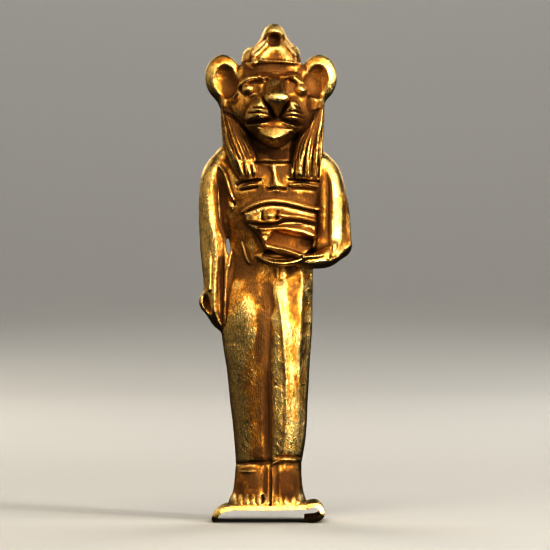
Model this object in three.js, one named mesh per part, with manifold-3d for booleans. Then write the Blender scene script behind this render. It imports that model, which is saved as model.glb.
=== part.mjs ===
// A small cast gold figure of a standing lioness-headed goddess, with one arm bent to hold an amulet of
// the sound eye against the waist, on a foot-plate bent from thin sheet.
// Millimetres, +Z up. The figure faces -Y, so +X is the viewer's right. The origin is on the surface that
// the plate stands on, below the middle of the whole.
import * as THREE from "three";
import { LoftGeometry } from "three/addons/geometries/LoftGeometry.js";
import { mergeVertices } from "three/addons/utils/BufferGeometryUtils.js";
import Module from "manifold-3d";

const wasm = await Module();
wasm.setup();

// Driving sizes of the figure and of its foot-plate
const figureHeight = 48.2; // soles to the top of the head-dress
const sheetThickness = 0.4; // gold sheet of the foot-plate
const soleLevel = 1.8; // top of the plate above the surface that it stands on
const toeMargin = 0.5; // plate in front of the toes
const heelMargin = 1.4; // plate behind the heels
const leftMargin = 0.2; // flat plate beside the left foot, up to the bend
const rightMargin = 0.9; // flat plate beside the right foot, up to the roll
const tongueReach = 1.5; // how far the left end leans out as it drops to the ground
const lipLength = 1.1; // flat lip of the right end, turned back under the roll
const cornerRadius = 1.2; // plan corners of the plate

// The carving is drawn on a canon of equal squares, of which the figure is 482 tall. Levels count up
// from the soles, x goes to the viewer's right and y to the back.
const squaresTall = 482;
const square = figureHeight / squaresTall;
const furrowPlace = -1;
const furrowWidth = 8;
const footLeft = -42;
const footRight = 37;
const toeLine = -44;
const heelLine = 28;

const at = (x, y, level) => new THREE.Vector3(x * square, y * square, level * square);

// Value at a place on the smooth curve through the values at the given places
function through(places, values, place) {
  const last = places.length - 1;
  let i = 0;
  while (i < last - 1 && place > places[i + 1]) i += 1;
  const slope = (k) => {
    const before = Math.max(k - 1, 0);
    const after = Math.min(k + 1, last);
    return (values[after] - values[before]) / (places[after] - places[before]);
  };
  const span = places[i + 1] - places[i];
  const t = Math.min(Math.max((place - places[i]) / span, 0), 1);
  const rise = values[i + 1] - values[i];
  const startCurl = slope(i) * span - rise;
  const endCurl = rise - slope(i + 1) * span;
  return values[i] + t * rise + t * (1 - t) * ((1 - t) * startCurl + t * endCurl);
}

// A solid of a closed geometry, with its shared vertices merged
function solid(geometry) {
  const bare = new THREE.BufferGeometry();
  bare.setAttribute("position", geometry.attributes.position);
  bare.setIndex(geometry.index);
  const merged = mergeVertices(bare, 1e-5);
  return new wasm.Manifold(new wasm.Mesh({
    numProp: 3,
    vertProperties: merged.attributes.position.array,
    triVerts: new Uint32Array(merged.index.array),
  }));
}

function join(pieces) {
  return pieces.reduce((whole, piece) => whole.add(piece));
}

function cut(whole, tools) {
  return tools.reduce((rest, tool) => rest.subtract(tool), whole);
}

// A named mesh of a finished solid
function named(name, whole, material) {
  const { vertProperties, triVerts } = whole.getMesh();
  const geometry = new THREE.BufferGeometry();
  geometry.setAttribute("position", new THREE.BufferAttribute(new Float32Array(vertProperties), 3));
  geometry.setIndex(new THREE.BufferAttribute(new Uint32Array(triVerts), 1));
  geometry.computeVertexNormals();
  const mesh = new THREE.Mesh(geometry, material);
  mesh.name = name;
  return mesh;
}

// A level ring between left and right, front and back: an oval at a squareness of 2, squarer above it.
// A furrow of the given depth runs up its front between the legs.
function levelRing(level, left, right, front, back, squareness, furrow, sides) {
  const middle = (left + right) / 2;
  const halfWidth = (right - left) / 2;
  const ring = [];
  for (let i = 0; i < sides; i += 1) {
    const angle = (i / sides) * Math.PI * 2;
    const across = Math.cos(angle);
    const deep = Math.sin(angle);
    const x = Math.sign(across) * Math.abs(across) ** (2 / squareness);
    const y = Math.abs(deep) ** (2 / squareness) * (deep < 0 ? front : back);
    const place = middle + x * halfWidth;
    const dip = deep < 0 ? furrow * Math.exp(-(((place - furrowPlace) / furrowWidth) ** 2)) : 0;
    ring.push(at(place, y + dip, level));
  }
  return ring;
}

// An upright form through stations [level, left, right, front, back, squareness, furrow], from the bottom up
function upright(stations, sides, rows) {
  const levels = stations.map((station) => station[0]);
  const columns = [1, 2, 3, 4, 5, 6].map((k) => stations.map((station) => station[k] ?? 0));
  const sections = [];
  for (let i = 0; i <= rows; i += 1) {
    const level = levels[0] + ((levels.at(-1) - levels[0]) * i) / rows;
    const sizes = columns.map((values) => through(levels, values, level));
    sections.push(levelRing(level, ...sizes, sides));
  }
  return solid(new LoftGeometry(sections, { capStart: true, capEnd: true }));
}

// A rounded form along stations [x, y, level, half width, half depth], its depth square to the viewer's
// plane. Both ends are domed over a share of its length.
function limb(stations, sides, rows, dome = 0.12) {
  const places = stations.map((_, i) => i / (stations.length - 1));
  const column = (k, t) => through(places, stations.map((station) => station[k]), t);
  const middle = (t) => at(column(0, t), column(1, t), column(2, t));
  const tangentStep = 0.01;
  const bluntEnd = 0.12;
  const sections = [];
  for (let i = 0; i <= rows; i += 1) {
    const t = (1 - Math.cos((i / rows) * Math.PI)) / 2;
    const centre = middle(t);
    const ahead = middle(Math.min(t + tangentStep, 1));
    const along = ahead.sub(middle(Math.max(t - tangentStep, 0))).normalize();
    const deep = new THREE.Vector3(0, 1, 0).addScaledVector(along, -along.y).normalize();
    const across = deep.clone().cross(along);
    const toEnd = Math.min(t, 1 - t, dome) / dome;
    const fullness = Math.max(Math.sqrt(1 - (1 - toEnd) ** 2), bluntEnd) * square;
    const ring = [];
    for (let j = 0; j < sides; j += 1) {
      const angle = (j / sides) * Math.PI * 2;
      ring.push(centre.clone()
        .addScaledVector(across, Math.cos(angle) * column(3, t) * fullness)
        .addScaledVector(deep, Math.sin(angle) * column(4, t) * fullness));
    }
    sections.push(ring);
  }
  return solid(new LoftGeometry(sections, { capStart: true, capEnd: true }));
}

// An oval ball, which may lean to the side
function ball([x, y, level], [halfWidth, halfDepth, halfHeight], around = 10, lean = 0) {
  const sphere = new THREE.SphereGeometry(square, around, Math.ceil(around * 0.6));
  sphere.rotateX(Math.PI / 2);
  sphere.scale(halfWidth, halfDepth, halfHeight);
  sphere.rotateY(lean);
  sphere.translate(x * square, y * square, level * square);
  return solid(sphere);
}

// A slab with an outline of [x, level] points, from front to back
function slab(outline, front, back) {
  const shape = new THREE.Shape(outline.map(([x, level]) => new THREE.Vector2(x * square, level * square)));
  const block = new THREE.ExtrudeGeometry(shape, { depth: (back - front) * square, bevelEnabled: false });
  block.rotateX(Math.PI / 2);
  block.translate(0, back * square, 0);
  return solid(block);
}

// Close-fitting gown, from its hem to the slope of the shoulders, with the legs showing through it
function gown() {
  return upright([
    [42, -34, 31, -27, 21, 2.4, 8],
    [56, -34.5, 33.5, -29, 22, 2.4, 8],
    [78, -36.5, 36, -31, 23, 2.4, 9],
    [104, -39.5, 36.5, -32, 24, 2.3, 9],
    [130, -41.5, 37.5, -33, 26, 2.3, 8],
    [156, -46, 39.5, -34, 29, 2.3, 5],
    [178, -49.5, 42, -33, 33, 2.3, 2],
    [206, -49, 42.5, -31, 34, 2.3],
    [238, -44, 43, -25, 27, 2.4],
    [262, -43, 44, -24, 23, 2.5],
    [290, -46, 46, -27, 24, 2.6],
    [318, -50, 50, -28, 26, 2.5],
    [338, -56, 57, -26, 25, 2.3],
    [350, -50, 52, -20, 20, 2.2],
    [357, -40, 44, -12, 14, 2.2],
  ], 26, 16);
}

// Bare feet with their toes, flaring out onto the plate
function feet() {
  const soles = [
    [[0, footLeft, 2, toeLine, heelLine, 3], [5, -39, 2, -43, 27, 3], [24, -35, 3, -30, 22, 2.8],
      [46, -33, 4, -16, 18, 2.6]],
    [[0, -1, footRight, toeLine, heelLine, 3], [5, -1, 35, -43, 27, 3], [24, -2, 30, -31, 22, 2.8],
      [52, -3, 30, -16, 18, 2.6]],
  ].map((stations) => upright(stations, 12, 5));
  const toeRows = [[-6, -15, -22.5, -29.5, -36], [8, 16, 22, 27, 31.5]];
  const toes = toeRows.flatMap((row) => row.map((x, i) => {
    const size = 5.4 - 0.5 * i;
    return ball([x, -37 + i * 2, size * 1.2], [size * 0.7, 10, size * 1.2], 6);
  }));
  return join([...soles, ...toes]);
}

// Arm that hangs beside the body, with its flat hand against the hip
function hangingArm() {
  const arm = limb([
    [-44, 4, 350, 12, 12], [-54, 2, 332, 15, 15], [-57.5, 1, 310, 14.5, 15], [-58, -1, 284, 14, 14],
    [-57.5, -4, 256, 13, 12], [-56, -6, 228, 11.5, 11], [-54, -7, 208, 10, 11],
  ], 10, 11, 0.08);
  const hand = limb([
    [-55, -6, 236, 9, 9], [-55, -8, 206, 12.5, 11], [-51, -8, 188, 11, 9], [-46, -8, 173, 2, 5],
  ], 8, 7, 0.12);
  const thumb = limb([[-60, -8, 216, 4, 5], [-65.5, -9, 203, 7, 7], [-58, -9, 188, 3, 5]], 6, 6, 0.2);
  return join([arm, hand, thumb]);
}

// Arm bent across the waist, its thumb and fingers holding the amulet from below
function bentArm() {
  const upper = limb([
    [44, 4, 350, 12, 12], [56, 2, 334, 15, 14], [63, 1, 312, 14.5, 15], [66, 0, 286, 14.5, 15],
    [67, -4, 260, 15, 14],
  ], 10, 8, 0.1);
  const forearm = limb([
    [69, -4, 262, 12, 13], [57, -22, 250, 10, 11], [38, -34, 247, 9, 9], [20, -38, 247, 7, 7],
  ], 10, 8, 0.14);
  const thumb = limb([[36, -38, 250, 4, 5], [16, -43, 256, 3, 4], [-3, -42, 263, 2.4, 4]], 6, 5, 0.15);
  const fingers = limb([
    [36, -36, 246, 6, 7], [12, -42, 243, 5, 7], [-4, -41, 246, 4.4, 6], [-14, -36, 253, 2.4, 4],
  ], 8, 6, 0.15);
  const palm = ball([8, -31, 250], [24, 10, 9]);
  return join([upper, forearm, thumb, fingers, palm]);
}

// Amulet of the sound eye: a slab with the brow, the lids, the pupil and the markings below it
function eyeAmulet() {
  const ground = slab([
    [-29, 297], [-12, 304], [6, 306], [28, 302], [48, 295], [48, 260], [30, 251], [8, 250], [-2, 262],
    [-12, 276],
  ], -35, -10);
  const ridges = [
    [[-29, -33, 297, 2.4, 5], [-10, -36, 304, 2.6, 5], [10, -37, 305, 2.6, 5], [47, -34, 295, 2.4, 5]],
    [[-26, -34, 286, 1.8, 4], [-10, -36, 295, 2, 4], [10, -36, 296, 2, 4], [46, -33, 284, 2, 4]],
    [[-24, -34, 285, 2, 3], [-8, -35, 288, 5, 5], [14, -35, 289, 5, 4], [46, -33, 282, 2.4, 4]],
    [[-9, -34, 279, 2, 4], [8, -36, 279, 3, 4], [26, -37, 275, 4.5, 5], [47, -34, 269, 5, 5]],
    [[-8, -35, 279, 3, 4], [0, -36, 270, 4, 4], [4, -36, 262, 2, 4]],
  ].map((stations) => limb(stations, 5, 5, 0.07));
  return join([ground, ...ridges, ball([-4, -36, 290], [7.5, 5, 6.5])]);
}

// One lappet of the wig: strands fanning down from the ear to a bound end in front of the shoulder
function lappet({ stations, strands, topWidth, endWidth }) {
  const widths = stations.map((_, i) => topWidth + ((endWidth - topWidth) * i) / (stations.length - 1));
  const strandAt = (share, fill, setBack) => stations.map(([x, y, level], i) => (
    [x + share * widths[i], y + setBack, level, widths[i] * fill, 5]));
  const pieces = [limb(strandAt(0, 0.46, 4), 5, 4, 0.05)];
  for (let i = 0; i < strands; i += 1) {
    pieces.push(limb(strandAt((i + 0.5) / strands - 0.5, 0.52 / strands, 0), 4, 4, 0.05));
  }
  const [endX, endY, endLevel] = stations.at(-1);
  const bandHalf = endWidth * 0.54;
  pieces.push(limb([
    [endX - bandHalf, endY + 3, endLevel - 2, 3, 6], [endX, endY, endLevel - 1, 3, 6],
    [endX + bandHalf, endY + 3, endLevel - 2, 3, 6],
  ], 6, 3, 0.08));
  return join(pieces);
}

// Wig over the skull and down the back, with a lappet in front of each shoulder
function wig() {
  const hood = upright([
    [338, -40, 44, -4, 36, 2.4],
    [352, -47, 51, -12, 38, 2.4],
    [376, -49, 53, -19, 42, 2.5],
    [402, -50, 54, -22, 44, 2.5],
    [424, -47, 51, -23, 43, 2.4],
    [438, -38, 42, -24, 38, 2.3],
    [446, -26, 30, -22, 30, 2.2],
  ], 20, 10);
  const backLock = upright([
    [296, -26, 32, 0, 30, 2.8],
    [304, -32, 38, 0, 34, 2.8],
    [330, -38, 43, 0, 36, 2.6],
    [360, -40, 44, 0, 38, 2.4],
  ], 12, 4);
  const lappets = [
    {
      stations: [[-41, -16, 404], [-38, -22, 376], [-29, -28, 348], [-21, -31, 321]],
      strands: 4, topWidth: 12, endWidth: 20,
    },
    {
      stations: [[47, -16, 404], [45, -22, 376], [40, -28, 348], [34, -31, 322]],
      strands: 4, topWidth: 12, endWidth: 26,
    },
  ].map(lappet);
  return join([hood, backLock, ...lappets]);
}

// Small upright pendant at the throat, between the lappets
function pendant() {
  return limb([
    [6, -27, 343, 6, 4], [6, -28, 336, 3.6, 4], [6, -29, 326, 3.6, 4], [6, -28, 318, 7, 4],
  ], 8, 6, 0.05);
}

// Lioness's head: face, nose, whisker pads, brows, eyes and heavy chin, with the mouth cut across
function head() {
  const centre = 4;
  const pieces = [
    ball([3, -12, 402], [44, 30, 42], 16),
    limb([[6, -30, 430, 11, 8], [6, -42, 419, 11, 9], [6, -54, 411, 12, 9], [6, -61, 401, 10, 6]], 8, 6, 0.14),
    ball([6.5, -58, 406], [13, 8, 8], 10),
    ball([centre, -35, 377], [26, 21, 18], 12),
  ];
  for (const side of [-1, 1]) {
    pieces.push(ball([5 + side * 14, -44, 394], [17, 19, 12], 10, side * 0.3));
    pieces.push(ball([centre + side * 33, -18, 396], [14, 16, 22], 10, side * 0.3));
    pieces.push(ball([centre + side * 26, -32, 418], [9, 8, 6], 8, side * 0.3));
    pieces.push(limb([
      [centre + side * 42, -20, 412, 3, 6], [centre + side * 33, -30, 424, 3.6, 7],
      [centre + side * 20, -34, 430, 4, 8], [centre + side * 9, -34, 424, 3, 7],
    ], 6, 6, 0.1));
  }
  const mouth = limb([
    [-28, -44, 383, 1.2, 8], [-12, -58, 386, 1.6, 8], [5, -62, 388, 1.6, 9], [20, -58, 386, 1.6, 8],
    [36, -44, 382, 1.2, 8],
  ], 6, 8, 0.05);
  const noseFolds = [-1, 1].map((side) => limb([
    [6 + side * 15, -62, 408, 1.2, 5], [6 + side * 8, -65, 398, 1.6, 5], [6 + side, -67, 389, 1.4, 5],
  ], 5, 4, 0.1));
  return cut(join(pieces), [mouth, ...noseFolds]);
}

// A round ear, cupped towards the front, its root running down the wig
function ear(side, x) {
  const shell = ball([x, -8, 430], [18, 9, 24], 14, side * 0.1);
  const root = ball([x - side * 4, -7, 412], [13.5, 8, 20], 10, side * 0.25);
  const cup = ball([x - side * 2, -21, 427], [13.5, 16, 20], 10, side * 0.1);
  return cut(join([shell, root]), [cup]);
}

// Brow band and flat-fronted cap, with the worn stump of the head-dress on it
function headDress() {
  const band = limb([
    [-22, -20, 438, 7, 10], [2, -29, 438, 8, 10], [8, -29, 438, 8, 10], [36, -20, 438, 7, 10],
  ], 6, 6, 0.06);
  const cap = upright([
    [436, -29, 31, -22, 26, 2.2], [452, -28, 30, -22, 25, 2.3], [460, -24, 27, -19, 21, 2.3],
  ], 18, 4);
  const panel = slab([[-19, 439], [28, 439], [28, 455], [16, 466], [-7, 466], [-20, 455]], -29, -8);
  const stump = upright([
    [452, -27, 31, -24, 14, 2.2], [460, -24, 29, -25, 12, 2.2], [468, -13, 20, -24, 10, 2.1],
    [476, -8, 13, -20, 8, 2], [481, -3, 8, -13, 2, 2], [squaresTall, 0, 6, -9, -2, 2],
  ], 14, 10);
  const hollow = ball([3, -33, 467], [11, 12, 7], 12);
  return cut(join([band, cap, panel, stump]), [hollow]);
}

function figure() {
  const body = join([
    gown(), feet(), hangingArm(), bentArm(), eyeAmulet(), wig(), pendant(), head(),
    ear(-1, -47), ear(1, 49), headDress(),
  ]);
  const armSlit = ball([-42.5, -4, 260], [2.2, 40, 9], 8);
  const legGroove = limb([
    [-1, -22, 36, 2.4, 5], [-1, -26, 80, 2.6, 6], [0, -28, 124, 2.4, 5], [3, -32, 152, 1, 3],
  ], 5, 5, 0.05);
  const neckLine = limb([[-14, -24, 344, 1.2, 6], [3, -26, 344, 1.2, 6], [21, -24, 344, 1.2, 6]], 6, 4, 0.05);
  return cut(body, [armSlit, legGroove, neckLine]);
}

// Foot-plate: one strip of sheet under both feet, with rounded plan corners
function footPlate() {
  const flatLeft = footLeft * square - leftMargin;
  const flatRight = footRight * square + rightMargin;
  const front = toeLine * square - toeMargin;
  const back = heelLine * square + heelMargin;
  const outer = new THREE.Shape();
  const innerDrop = soleLevel - sheetThickness;
  const roll = soleLevel / 2;
  outer.moveTo(flatLeft - tongueReach, 0);
  outer.absellipse(flatLeft, 0, tongueReach, soleLevel, Math.PI, Math.PI / 2, true);
  outer.absarc(flatRight, roll, roll, Math.PI / 2, -Math.PI / 2, true);
  outer.lineTo(flatRight - lipLength, 0);
  outer.lineTo(flatRight - lipLength, sheetThickness);
  outer.absarc(flatRight, roll, roll - sheetThickness, -Math.PI / 2, Math.PI / 2, false);
  outer.absellipse(flatLeft, 0, tongueReach - sheetThickness, innerDrop, Math.PI / 2, Math.PI, false);
  const strip = new THREE.ExtrudeGeometry(outer, { depth: back - front, bevelEnabled: false, curveSegments: 7 });
  strip.rotateX(Math.PI / 2);
  strip.translate(0, back, 0);
  const left = flatLeft - tongueReach;
  const right = flatRight + roll;
  const plan = new THREE.Shape();
  plan.absarc(right - cornerRadius, back - cornerRadius, cornerRadius, 0, Math.PI / 2, false);
  plan.absarc(left + cornerRadius, back - cornerRadius, cornerRadius, Math.PI / 2, Math.PI, false);
  plan.absarc(left + cornerRadius, front + cornerRadius, cornerRadius, Math.PI, Math.PI * 1.5, false);
  plan.absarc(right - cornerRadius, front + cornerRadius, cornerRadius, Math.PI * 1.5, Math.PI * 2, false);
  const clearance = 1;
  const block = new THREE.ExtrudeGeometry(plan, {
    depth: soleLevel + 2 * clearance, bevelEnabled: false, curveSegments: 4,
  });
  block.translate(0, 0, -clearance);
  return solid(strip).intersect(solid(block));
}

const gold = new THREE.MeshStandardMaterial({ color: 0xc8933c, roughness: 0.3, metalness: 1 });
const sheetGold = new THREE.MeshStandardMaterial({ color: 0xcfa050, roughness: 0.35, metalness: 1 });

const statue = new THREE.Group();
const figureMesh = named("figure", figure(), gold);
figureMesh.position.z = soleLevel;
statue.add(figureMesh);
statue.add(named("foot_plate", footPlate(), sheetGold));

// The origin goes below the middle of the whole
const box = new THREE.Box3().setFromObject(statue);
const middle = box.getCenter(new THREE.Vector3());
for (const mesh of statue.children) {
  mesh.position.x -= middle.x;
  mesh.position.y -= middle.y;
}

export default statue;
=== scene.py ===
from functools import partial
import math

import bmesh
import bpy
import numpy as np
import openvdb
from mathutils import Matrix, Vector


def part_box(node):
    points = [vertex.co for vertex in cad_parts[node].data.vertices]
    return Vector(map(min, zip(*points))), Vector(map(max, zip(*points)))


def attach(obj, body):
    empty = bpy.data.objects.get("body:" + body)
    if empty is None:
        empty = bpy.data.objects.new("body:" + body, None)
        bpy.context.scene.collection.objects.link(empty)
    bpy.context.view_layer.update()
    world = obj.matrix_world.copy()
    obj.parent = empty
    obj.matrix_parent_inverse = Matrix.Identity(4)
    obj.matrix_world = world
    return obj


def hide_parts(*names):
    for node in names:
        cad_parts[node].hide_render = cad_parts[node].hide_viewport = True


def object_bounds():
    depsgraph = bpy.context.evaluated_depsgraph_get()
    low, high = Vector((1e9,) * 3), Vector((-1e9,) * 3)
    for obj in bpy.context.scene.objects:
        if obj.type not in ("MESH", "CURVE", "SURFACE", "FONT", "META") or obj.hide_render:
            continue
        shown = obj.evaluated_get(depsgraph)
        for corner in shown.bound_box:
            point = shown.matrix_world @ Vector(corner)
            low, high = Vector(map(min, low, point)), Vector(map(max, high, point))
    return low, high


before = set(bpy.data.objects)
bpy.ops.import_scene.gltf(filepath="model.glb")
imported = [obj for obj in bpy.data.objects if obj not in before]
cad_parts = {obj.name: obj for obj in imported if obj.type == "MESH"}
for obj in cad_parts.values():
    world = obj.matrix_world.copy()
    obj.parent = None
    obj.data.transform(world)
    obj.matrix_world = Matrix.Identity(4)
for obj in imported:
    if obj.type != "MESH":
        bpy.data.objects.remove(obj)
cadLow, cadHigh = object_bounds()

# The carving follows the canon of squares of the solids: the figure is 482 squares tall, levels count up
# from its soles, x goes to the viewer's right and y to the back.
canon = {
    "squaresTall": 482,
    "plateLeft": -59,  # left end of the foot-plate
    "plateFront": -49,
}
figureLow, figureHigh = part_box("figure")
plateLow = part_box("foot_plate")[0]
square = (figureHigh.z - figureLow.z) / canon["squaresTall"]
origin = Vector((plateLow.x - canon["plateLeft"] * square, plateLow.y - canon["plateFront"] * square,
                 figureLow.z))

# Block of clay, as signed distances in squares: below zero inside
clayBlock = {
    "low": (-77, -76, -4),
    "high": (88, 52, 488),
    "cell": 0.8,
    "far": 14,
    "soles": -1.4,  # level at which the feet are cut off, inside the plate
    "front": (-2, 8),  # places in front of the middle over which the relief begins
}
cell = clayBlock["cell"]
axes = [np.arange(low, high, cell, dtype=np.float32)
        for low, high in zip(clayBlock["low"], clayBlock["high"])]
clay = np.full([len(axis) for axis in axes], clayBlock["far"], np.float32)
relief = np.zeros((len(axes[0]), len(axes[2])), np.float32)  # height of the carving on the front
leastSlope = 0.001  # keeps distances finite at the middle of a form


def cells(axis, low, high):
    return slice(int(np.searchsorted(axes[axis], low)), int(np.searchsorted(axes[axis], high)))


# Span and places of the cells of a box
def within(low, high, margin=6):
    spans = tuple(cells(k, low[k] - margin, high[k] + margin) for k in range(3))
    x, y, z = [axes[k][spans[k]] for k in range(3)]
    return spans, (x[:, None, None], y[None, :, None], z[None, None, :])


# Values on the smooth curve through values at places
def through(places, values, at):
    places, values = np.asarray(places, float), np.asarray(values, float)
    at = np.clip(at, places[0], places[-1])
    last = len(places) - 1
    i = np.clip(np.searchsorted(places, at, side="right") - 1, 0, last - 1)
    before = np.maximum(np.arange(last + 1) - 1, 0)
    after = np.minimum(np.arange(last + 1) + 1, last)
    slopes = (values[after] - values[before]) / (places[after] - places[before])
    span = places[i + 1] - places[i]
    t = (at - places[i]) / span
    rise = values[i + 1] - values[i]
    curl = (1 - t) * (slopes[i] * span - rise) + t * (rise - slopes[i + 1] * span)
    return values[i] + t * rise + t * (1 - t) * curl


# The columns after the first, which is the level, at other levels
def atLevels(stations, z):
    return [through(stations[:, 0], column, z).astype(np.float32) for column in stations.T[1:]]


# Smooth line through the points, with so many steps from one to the next
def drawn(points, steps):
    points = np.array(points, float)
    marks = np.arange(len(points))
    at = np.linspace(0, marks[-1], marks[-1] * steps + 1)
    return np.stack([through(marks, column, at) for column in points.T], 1)


def softMin(a, b, blend):
    near = np.maximum(blend - np.abs(a - b), 0) / blend
    return np.minimum(a, b) - near * near * blend / 4


def add(spans, form, blend):
    clay[spans] = softMin(clay[spans], form, blend)


def cut(spans, form, blend):
    clay[spans] = -softMin(-clay[spans], form, blend)


# Upright form through stations [level, left, right, front, back, squareness], from the bottom up
def upright(stations, blend):
    stations = np.array(stations, float)
    bottom, top = stations[0, 0], stations[-1, 0]
    spans, (x, y, z) = within((stations[:, 1].min(), stations[:, 3].min(), bottom),
                              (stations[:, 2].max(), stations[:, 4].max(), top))
    left, right, front, back, power = atLevels(stations, z)
    halfWidth = (right - left) / 2
    depth = np.maximum(np.where(y < 0, -front, back), 1)
    u = np.abs(x - (left + right) / 2) / halfWidth
    v = np.abs(y) / depth
    size = np.maximum(u ** power + v ** power, 1e-4) ** (1 / power)
    slope = np.sqrt((u ** (power - 1) / halfWidth) ** 2 + (v ** (power - 1) / depth) ** 2)
    form = (size - 1) / np.maximum(slope / size ** (power - 1), 10 * leastSlope)
    add(spans, np.maximum(form, np.maximum(bottom - z, z - top).astype(np.float32)), blend)


# Distance to an oval of the given half sizes, from the places along its own axes
def oval(places, sizes):
    k = np.sqrt(sum((place / size) ** 2 for place, size in zip(places, sizes)))
    slope = np.sqrt(sum((place / size ** 2) ** 2 for place, size in zip(places, sizes)))
    return (k - 1) * k / np.maximum(slope, leastSlope)


# Oval ball, leaning to the side
def ballForm(centre, size, lean):
    reach = max(size)
    spans, (x, y, z) = within([c - reach for c in centre], [c + reach for c in centre])
    x, y, z = x - centre[0], y - centre[1], z - centre[2]
    across, up = x * math.cos(lean) - z * math.sin(lean), x * math.sin(lean) + z * math.cos(lean)
    return spans, oval((across, y, up), size)


def ball(centre, size, blend, lean=0.0):
    add(*ballForm(centre, size, lean), blend)


def hollow(centre, size, blend, lean=0.0):
    cut(*ballForm(centre, size, lean), blend)


def dot(place, way):
    return place[0] * way[0] + place[1] * way[1] + place[2] * way[2]


# Rounded form along stations [x, y, level, half width, half depth]
def limbForm(stations):
    points = drawn(stations, 4)
    reach = points[:, 3:].max()
    spans, grid = within(points[:, :3].min(0) - reach, points[:, :3].max(0) + reach, 4)
    whole = np.full(np.broadcast(*grid).shape, clayBlock["far"], np.float32)
    for start, end in zip(points[:-1], points[1:]):
        along = end[:3] - start[:3]
        length = np.linalg.norm(along)
        along = along / length
        deep = np.array([0, 1, 0]) - along * along[1]
        deep = deep / np.linalg.norm(deep)
        place = [grid[k] - start[k] for k in range(3)]
        gone = np.clip(dot(place, along), 0, length)
        place = [place[k] - gone * along[k] for k in range(3)]
        a, b = [start[k] + (end[k] - start[k]) * (gone / length) for k in (3, 4)]
        ways = (np.cross(deep, along), deep, along)
        form = oval([dot(place, way) for way in ways], (a, b, np.minimum(a, b)))
        np.minimum(whole, form, out=whole, casting="unsafe")
    return spans, whole


def limb(stations, blend):
    add(*limbForm(stations), blend)


def channel(stations, blend):
    cut(*limbForm(stations), blend)


# Flat filed on the front right of a ridge through stations [level, x, y, turn from the front in degrees]
def facet(stations):
    stations = np.array(stations, float)
    bottom, top = stations[0, 0], stations[-1, 0]
    fadeOver, blend = 4, 0.6
    spans, (x, y, z) = within((stations[:, 1].min() - 2, -70, bottom), (90, 20, top), 0)
    ridgeX, ridgeY, turn = atLevels(stations, z)
    turn = np.radians(turn)
    fade = np.maximum(fadeOver - (z - bottom), fadeOver - (top - z)).clip(0, fadeOver).astype(np.float32)
    cut(spans, -((x - ridgeX) * np.sin(turn) - (y - ridgeY) * np.cos(turn) - fade), blend)


# Part of the relief around points [x, level], with the places of its cells
def reliefPart(points, reach):
    span = tuple(cells(axis, points[:, k].min() - reach, points[:, k].max() + reach)
                 for k, axis in ((0, 0), (1, 2)))
    return span, axes[0][span[0]][:, None], axes[2][span[1]][None, :]


# Share of the way from start to end that is nearest to the cells, and how far away it is
def nearLine(x, z, start, end):
    dx, dz = end[0] - start[0], end[1] - start[1]
    t = np.clip(((x - start[0]) * dx + (z - start[1]) * dz) / (dx * dx + dz * dz), 0, 1)
    return t, np.hypot(x - start[0] - dx * t, z - start[1] - dz * t)


# Ridge, or groove where the height is below zero, along points [x, level, half width, height], where a
# fifth number is the half width to the right of the line as it runs down
def stroke(shape, points):
    leastWidth = 0.1
    points = np.array([list(point) + [point[2]] * (5 - len(point)) for point in points], float)
    line = drawn(points, 6)
    span, x, z = reliefPart(line, points[:, [2, 4]].max() + 1)
    best = np.full(np.broadcast(x, z).shape, 1.0)
    lift = np.zeros_like(best)
    for start, end in zip(line[:-1], line[1:]):
        t, away = nearLine(x, z, start, end)
        onLeft = (x - start[0]) * (end[1] - start[1]) - (z - start[1]) * (end[0] - start[0]) > 0
        width = np.where(onLeft, start[2] + (end[2] - start[2]) * t, start[4] + (end[4] - start[4]) * t)
        away = away / np.maximum(width, leastWidth)
        nearer = away < best
        best = np.where(nearer, away, best)
        lift = np.where(nearer, start[3] + (end[3] - start[3]) * t, lift)
    rest, blunt, steepness = 1 - best, 0.14, 3
    if shape == "round":
        profile = 1 - best ** 2
    elif shape == "soft":
        profile = rest * rest * (3 - 2 * rest)
    elif shape == "tent":
        profile = 1 - (np.hypot(best, blunt) - blunt) / (math.hypot(1, blunt) - blunt)
    else:
        profile = np.clip(rest * steepness, 0, 1)
    relief[span] += (lift * profile).astype(np.float32)


# Flat raised area, or sunk where the height is below zero, inside an outline of [x, level] points
def area(outline, height, edge):
    outline = np.array(outline, float)
    span, x, z = reliefPart(outline, 2)
    away = np.full(np.broadcast(x, z).shape, 1e3)
    inside = np.zeros(away.shape, bool)
    for start, end in zip(outline, np.roll(outline, -1, 0)):
        away = np.minimum(away, nearLine(x, z, start, end)[1])
        rise = end[1] - start[1]
        crosses = (start[1] > z) != (end[1] > z)
        inside ^= crosses & (x < start[0] + (z - start[1]) * (end[0] - start[0]) / (rise if rise else 1e-6))
    depth = np.clip(np.where(inside, away, -away) / edge + 0.5, 0, 1)
    relief[span] += (height * depth * depth * (3 - 2 * depth)).astype(np.float32)


forms = {form.__name__: form for form in (upright, limb, channel, ball, hollow, facet, area)}


# Works a piece into the clay, step by step: a form with its values, or a shape of stroke with its lines
def carve(piece):
    for kind, *values in piece.values():
        if kind in forms:
            forms[kind](*values)
            continue
        for line in values:
            stroke(kind, line)


print("gown and feet")

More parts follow.
